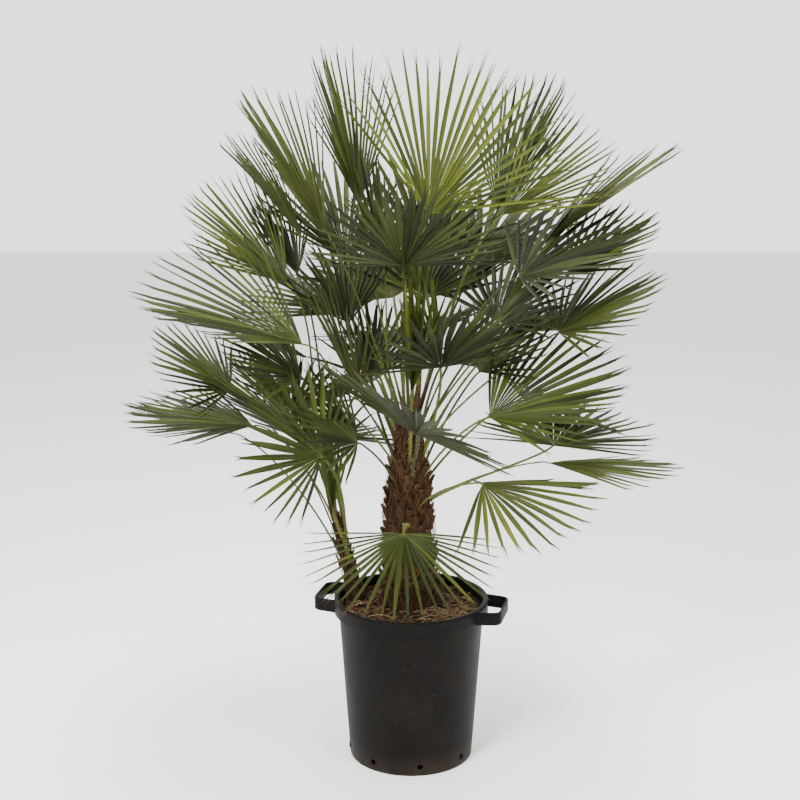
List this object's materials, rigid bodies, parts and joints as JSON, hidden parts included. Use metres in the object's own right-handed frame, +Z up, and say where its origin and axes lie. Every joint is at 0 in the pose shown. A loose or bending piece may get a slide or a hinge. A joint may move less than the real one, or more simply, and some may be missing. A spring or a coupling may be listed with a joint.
{
  "type": "potted european fan palm",
  "caption": "European fan palm with many stiff green fan fronds on a fibrous trunk and a leaning sucker, in a black plastic nursery pot with two side handles",
  "frame": {"origin": "centre of the flat underside of the pot", "axes": "+Z up the plant, -Y towards the side shown in the picture, +X to the right seen from there"},
  "size_m": [1.4602, 1.3072, 1.8587],
  "materials": {
    "pot_plastic": "matte moulded black plastic, dusty and lightly scuffed",
    "potting_bark": "damp dark bark chips and fibre",
    "trunk_fibre": "matted reddish brown fibre with cut leaf bases",
    "fan_leaf": "satin leathery green leaf, paler below"
  },
  "bodies": {
    "root": {"pot": "pot_plastic", "pot_handle_left": "pot_plastic", "pot_handle_right": "pot_plastic", "soil": "potting_bark", "trunk_main": "trunk_fibre", "trunk_sucker": "trunk_fibre", "frond_back_01": "fan_leaf", "frond_back_02": "fan_leaf", "frond_back_03": "fan_leaf", "frond_back_04": "fan_leaf", "frond_back_05": "fan_leaf", "frond_back_06": "fan_leaf", "frond_back_07": "fan_leaf", "frond_back_08": "fan_leaf", "frond_back_09": "fan_leaf", "frond_back_10": "fan_leaf", "frond_back_11": "fan_leaf", "frond_back_12": "fan_leaf", "frond_back_13": "fan_leaf", "frond_back_17": "fan_leaf", "frond_back_left_01": "fan_leaf", "frond_back_left_02": "fan_leaf", "frond_back_left_03": "fan_leaf", "frond_back_left_04": "fan_leaf", "frond_centre_dark": "fan_leaf", "frond_centre_low": "fan_leaf", "frond_crown_fore": "fan_leaf", "frond_crown_front": "fan_leaf", "frond_crown_left": "fan_leaf", "frond_crown_right": "fan_leaf", "frond_crown_right_back": "fan_leaf", "frond_far_right": "fan_leaf", "frond_high_left": "fan_leaf", "frond_high_left_back": "fan_leaf", "frond_inner_fold": "fan_leaf", "frond_inner_left": "fan_leaf", "frond_inner_low": "fan_leaf", "frond_inner_right": "fan_leaf", "frond_inner_small": "fan_leaf", "frond_inner_top": "fan_leaf", "frond_left_dark": "fan_leaf", "frond_left_far": "fan_leaf", "frond_left_hang": "fan_leaf", "frond_left_low": "fan_leaf", "frond_left_mid": "fan_leaf", "frond_left_spear": "fan_leaf", "frond_left_upper": "fan_leaf", "frond_left_wide": "fan_leaf", "frond_low_front": "fan_leaf", "frond_right_back": "fan_leaf", "frond_right_dark": "fan_leaf", "frond_right_far": "fan_leaf", "frond_right_low": "fan_leaf", "frond_right_mid": "fan_leaf", "frond_right_up": "fan_leaf", "frond_right_wide": "fan_leaf", "frond_spear_side": "fan_leaf", "frond_spear_tall": "fan_leaf", "frond_trunk_front": "fan_leaf"}
  },
  "joints": []
}
